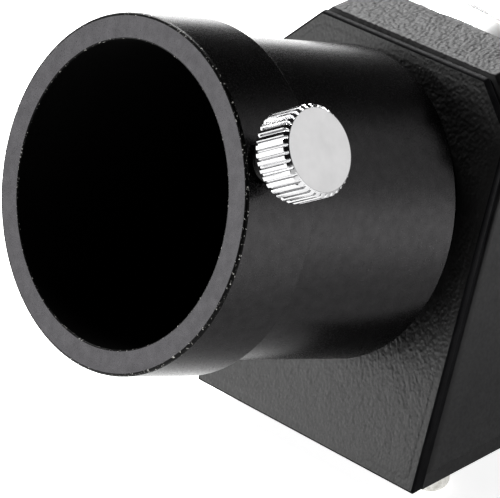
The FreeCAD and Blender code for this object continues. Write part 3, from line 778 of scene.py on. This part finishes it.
# ---- turned pieces ----
def eyepiece_holder(outside, edge, bore, face):
    """Collar, tube, neck and threaded spigot in one turned piece, blackened inside."""
    edge_zone, bore_zone, face_zone = 1, 2, 3
    back = FRONT - COLLAR_LENGTH
    stop = FRONT - SOCKET_DEPTH
    soft = 0.12 * MM
    # The front face takes face, a lighter copy of the anodising: painted light.
    piece = lathe("eyepiece_tube", EYE, [
        Corner(SPIGOT_BORE, -SPIGOT_LENGTH, soft, bore_zone),
        Corner(SPIGOT, -SPIGOT_LENGTH, soft),
        Corner(SPIGOT, PANEL_RISE),
        Corner(NECK, PANEL_RISE),
        Corner(NECK, NECK_GAP, 0.3 * MM),
        Corner(TUBE, NECK_GAP, 0.35 * MM),
        Corner(TUBE, back, 0.08 * MM),
        Corner(COLLAR, back, 0.10 * MM),
        Corner(COLLAR, FRONT, 0.34 * MM, edge_zone, face_zone),
        Corner(SOCKET, FRONT, 0.16 * MM, edge_zone, bore_zone),
        Corner(SOCKET, stop, after=bore_zone),
        Corner(STOP, stop, after=bore_zone),
        Corner(STOP, stop - STOP_LENGTH, after=bore_zone),
        Corner(SPIGOT_BORE, stop - STOP_LENGTH, after=bore_zone),
    ], [outside, edge, bore, face], segments=360)
    cut(piece, round_tool("screw_hole", SCREW, SHANK_HOLE, 10 * MM, 25 * MM, 48))
    return piece


def nosepiece_collar(outside, bore):
    """Plated ring with a tapered front, on a threaded spigot."""
    bore_zone = 1
    return lathe("nose_collar", NOSE, [
        Corner(SPIGOT_BORE, -SPIGOT_LENGTH),
        Corner(SPIGOT, -SPIGOT_LENGTH, 0.12 * MM),
        Corner(SPIGOT, PANEL_RISE),
        Corner(NOSE_COLLAR, PANEL_RISE, 0.15 * MM),
        Corner(NOSE_COLLAR, NOSE_COLLAR_RIM, 0.3 * MM),
        Corner(NOSE_COLLAR_FRONT, NOSE_COLLAR_LENGTH, 0.2 * MM),
        Corner(BARREL_SEAT + SEAT_FIT, NOSE_COLLAR_LENGTH),
        Corner(BARREL_SEAT + SEAT_FIT, NOSE_POCKET, after=bore_zone),
        Corner(SPIGOT_BORE, NOSE_POCKET, after=bore_zone),
    ], [outside, bore])


def nosepiece_barrel(plating, bore):
    """Plated push-fit barrel with a safety groove and a filter thread in its mouth."""
    bore_zone = 1
    start, end, depth = SAFETY_GROOVE
    mouth = NOSE_END - FILTER_DEPTH
    ridges = []
    for k in range(int(FILTER_DEPTH / FILTER_PITCH) - 1):
        level = NOSE_END - 0.5 * MM - k * FILTER_PITCH
        ridges.append(Corner(FILTER_THREAD, level))
        ridges.append(Corner(FILTER_THREAD - FILTER_RIDGE, level - FILTER_PITCH / 2))
    return lathe("nose_barrel", NOSE, [
        Corner(BARREL_BORE, NOSE_POCKET),
        Corner(BARREL_SEAT, NOSE_POCKET),
        Corner(BARREL_SEAT, NOSE_COLLAR_LENGTH),
        Corner(BARREL, NOSE_COLLAR_LENGTH, 0.1 * MM),
        Corner(BARREL, start, 0.2 * MM),
        Corner(BARREL - depth, start + depth, 0.2 * MM),
        Corner(BARREL - depth, end - depth, 0.2 * MM),
        Corner(BARREL, end, 0.2 * MM),
        Corner(BARREL, NOSE_END, 0.3 * MM),
        Corner(FILTER_THREAD, NOSE_END, 0.25 * MM),
        *ridges,
        Corner(FILTER_THREAD, mouth, after=bore_zone),
        Corner(BARREL_BORE, mouth, after=bore_zone),
    ], [plating, bore], sharp_deg=30)


def tooth_radius(share):
    """The knurl's radius across one tooth: a land, a flank, a narrow groove and a flank."""
    away = abs((share + 0.5) % 1 - 0.5) * 2
    fall = min(max((away - TOOTH_LAND) / TOOTH_FLANK, 0.0), 1.0)
    return KNOB_RADIUS - TOOTH_DEPTH * fall * fall * (3 - 2 * fall)


def thumb_screw(face_plating, thread_painted_shade, knurl_plating_painted_shade):
    """Straight-knurled knob with bevelled ends on a threaded shank."""
    thread_zone, knurl_zone = 1, 2
    segments = TEETH * 10
    levels_per_turn, straight_levels, bevel_levels = 8, 4, 8
    face = KNOB_UNDER + KNOB_LENGTH
    crown = 0.006 * MM
    rows, zones = [], []

    def plain(radius, turn, height):
        return radius

    def thread(radius, turn, height):
        phase = (height / THREAD_PITCH - turn) % 1
        ridge = min(1.0, 2.4 * abs(phase - 0.5))
        return radius - THREAD_DEPTH * (1 - ridge)

    def knurl(radius, turn, height):
        return min(radius, tooth_radius(turn * TEETH))

    def add(radius, height, zone=0, shape=plain):
        """A ring of points, its radius shaped round the turn."""
        row = []
        for k in range(segments):
            angle = 2 * math.pi * k / segments
            r = shape(radius, k / segments, height)
            row.append(SCREW @ Vector((r * math.cos(angle), r * math.sin(angle), height)))
        rows.append(row)
        zones.append(zone)

    add(POLE, SHANK_END + STEM_HOLE_DEPTH, thread_zone)
    add(STEM_HOLE, SHANK_END + STEM_HOLE_DEPTH, thread_zone)
    add(STEM_HOLE, SHANK_END, thread_zone)
    add(SHANK - THREAD_DEPTH, SHANK_END, thread_zone)
    first = SHANK_END + THREAD_DEPTH
    for level in range(round((KNOB_UNDER - first) / THREAD_PITCH * levels_per_turn)):
        add(SHANK, first + level * THREAD_PITCH / levels_per_turn, thread_zone, thread)
    add(SHANK, KNOB_UNDER - 0.02 * MM, thread_zone)
    add(SHANK, KNOB_UNDER, knurl_zone)
    add(KNOB_RADIUS - TOOTH_DEPTH - 0.1 * MM, KNOB_UNDER, knurl_zone)
    add(KNOB_RADIUS - UNDER_BEVEL, KNOB_UNDER, knurl_zone, knurl)
    add(KNOB_RADIUS, KNOB_UNDER + UNDER_BEVEL, knurl_zone, knurl)
    straight = KNOB_LENGTH - UNDER_BEVEL - KNOB_BEVEL
    for level in range(1, straight_levels + 1):
        height = KNOB_UNDER + UNDER_BEVEL + straight * level / straight_levels
        add(KNOB_RADIUS, height, knurl_zone, knurl)
    for level in range(1, bevel_levels + 1):
        share = level / bevel_levels
        radius = KNOB_RADIUS - (KNOB_RADIUS - KNOB_FACE) * share
        add(radius, face - KNOB_BEVEL * (1 - share), knurl_zone, knurl)
    add(KNOB_FACE - 0.06 * MM, face + 0.005 * MM)
    add(KNOB_FACE - 0.3 * MM, face + crown)
    add(POLE, face + crown)
    # The knurl takes a darker copy of the face's plating: painted shade.
    piece = mesh_from_rows("clamp_screw", rows, zones, [face_plating, thread_painted_shade, knurl_plating_painted_shade],
                           sharp_deg=28, weld=WELD)
    even_normals(piece)
    return piece


def base_screws(finish):
    """Four domed pan heads with a tapered cross recess, on plain shanks."""
    pieces = []
    for x, y in base_screw_places():
        down = Matrix.Translation((x, y, 0)) @ Matrix.Rotation(math.pi, 4, "X")
        piece = lathe("pan_screw", down, [
            Corner(POLE, -BASE_SCREW_LENGTH),
            Corner(BASE_SCREW, -BASE_SCREW_LENGTH, 0.2 * MM),
            Corner(BASE_SCREW, 0),
            Corner(SCREW_HEAD, 0, 0.1 * MM),
            Corner(SCREW_HEAD, SCREW_HEAD_HEIGHT, SCREW_HEAD_ROUND),
            Corner(POLE, SCREW_HEAD_HEIGHT),
        ], [finish], segments=72, steps=8)
        for along in (0, math.pi / 2):
            turned = down @ Matrix.Rotation(along + CROSS_TURN, 4, "Z")
            floor = [turned @ Vector((a * CROSS_LENGTH * 0.45, b * CROSS_WIDTH * 0.8,
                                      SCREW_HEAD_HEIGHT - CROSS_DEPTH)) for a, b in SQUARE]
            mouth = [turned @ Vector((a * CROSS_LENGTH, b * CROSS_WIDTH,
                                      SCREW_HEAD_HEIGHT + 0.1 * MM)) for a, b in SQUARE]
            cut(piece, plain_solid("cross", floor, mouth))
        pieces.append(piece)
    return pieces


# ---- build ----
def stand_for(piece, node, body="housing"):
    """The piece rides on the body and replaces the CAD node."""
    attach(piece, body)
    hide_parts(node)


def dress(node, material):
    """A CAD node keeps its shape and gets a better material."""
    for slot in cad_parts[node].material_slots:
        slot.material = material


def build():
    """Every piece with its material."""
    black = anodised("black_anodising", (0.030, 0.0292, 0.030), 0.008 * MM)
    # The front face is the same anodising in a lighter tone: painted light where the face catches the
    # key light. Its coarser grain is its own.
    turned_face_painted_light = anodised("anodised_front_painted_light", (0.039, 0.038, 0.040), 0.014 * MM)
    edge, bore = anodised_edge(), blackened_bore()
    satin = smooth_plastic("satin_plastic", 0.21)
    rim = smooth_plastic("matt_rim", 0.02)
    panel = grained_plastic("grained_panel", 2600, 0.06 * MM, (0.004, 0.0038, 0.0038), 0.46)
    leather_top = grained_plastic("leather_top", 1900, 0.035 * MM, (0.0048, 0.0046, 0.0050), 0.06)
    bright = chrome("bright_chrome", (0.70, 0.695, 0.70), 400, 0.06, 0.14)
    # The knurl's chrome is a darker copy of the face's chrome: painted shade that keeps the knurl's
    # sides from burning out to white.
    knurl_chrome_painted_shade = chrome("knurl_chrome_painted_shade", (0.46, 0.46, 0.465), 500, 0.08, 0.20)
    barrel_chrome = chrome("barrel_chrome", (0.82, 0.82, 0.82), 120, 0.24, 0.32)
    steel = zinc()

    stand_for(housing_body(satin, leather_top), "housing_body")
    stand_for(front_plate(rim, panel), "eyepiece_side_plate")
    stand_for(rear_plate(satin, panel), "nosepiece_side_plate")
    stand_for(eyepiece_holder(black, edge, bore, turned_face_painted_light), "eyepiece_holder")
    stand_for(nosepiece_collar(barrel_chrome, bore), "nosepiece_collar")
    stand_for(nosepiece_barrel(barrel_chrome, bore), "nosepiece_barrel")
    # The thread is coloured near black as painted shade under the knob.
    screw = thumb_screw(bright, painted_shade_thread(), knurl_chrome_painted_shade)
    stand_for(screw, "thumb_screw", "thumb_screw")
    for piece in base_screws(steel):
        stand_for(piece, "base_plate_screws")

    dress("base_plate", satin)
    dress("prism_cradle", satin)
    dress("cradle_screws", steel)
    dress("prism_strap_screws", steel)
    dress("prism_strap", rolled_steel())
    dress("thumb_screw_tip", nylon())
    dress("roof_prism", glass())
    soft = felt()
    for node in ("prism_bed_strips", "prism_side_pads", "prism_strap_pad"):
        dress(node, soft)
    painted = mask_paint()
    for node in ("eyepiece_side_mask", "nosepiece_side_mask"):
        dress(node, painted)
    for node in ("eyepiece_lock_ring", "nosepiece_lock_ring"):
        dress(node, black)


bpy.context.scene.view_settings.view_transform = "Standard"
noise.seed_set(GRAIN_SEED)
add_camera()
add_world()
add_floor()
add_light("key", (-0.45, -0.60, 0.24), size=0.5, power=3.0)
add_light("back_left", (-0.49, 0.24, 0.45), size=0.46, power=17.0)
build()
